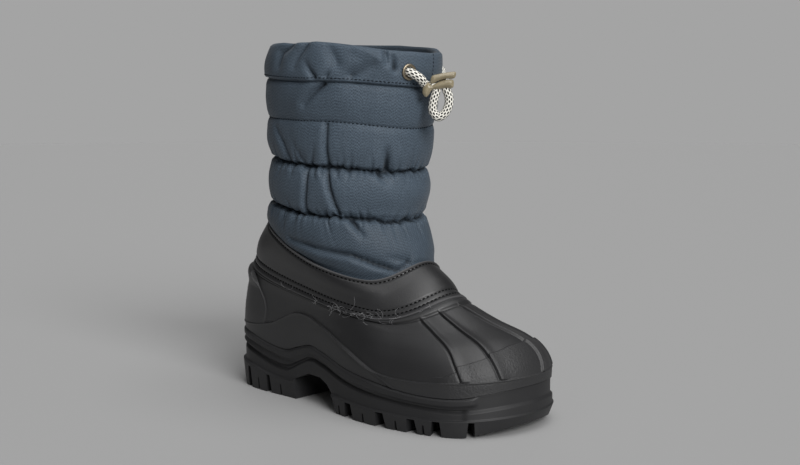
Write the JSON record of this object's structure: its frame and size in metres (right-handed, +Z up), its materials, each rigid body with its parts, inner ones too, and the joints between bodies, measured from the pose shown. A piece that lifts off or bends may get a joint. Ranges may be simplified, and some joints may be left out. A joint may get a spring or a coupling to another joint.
{
  "type": "winter boot",
  "caption": "Ankle-high winter boot for a child's right foot: moulded rubber foot with lugged sole, smooth ankle band, quilted shaft and a drawcord with a stopper at the collar.",
  "frame": {"origin": "on the floor under the middle of the boot's length and width, without the drawcord", "axes": "+X from heel to toe, +Y to the wearer's left (the inner side of this right foot), +Z up"},
  "size_m": [0.2132, 0.0989, 0.211],
  "materials": {
    "outsole_rubber": "matte black",
    "shell_rubber": "matte black",
    "band_coated_cloth": "satin black, smooth",
    "shaft_nylon": "slate blue twill, quilted",
    "insole_foam": "dark felt",
    "eyelet_brass": "antique",
    "stopper_plastic": "olive tan, satin",
    "cord_braid": "off-white braid with dark flecks"
  },
  "bodies": {
    "root": {"outsole": "outsole_rubber", "rubber_shell": "shell_rubber", "ankle_band": "band_coated_cloth", "quilted_shaft": "shaft_nylon", "insole": "insole_foam", "eyelet_outer": "eyelet_brass", "eyelet_inner": "eyelet_brass", "stopper_body": "stopper_plastic", "stopper_button": "stopper_plastic", "cord_outer": "cord_braid", "cord_inner": "cord_braid", "cord_loop": "cord_braid"}
  },
  "joints": []
}
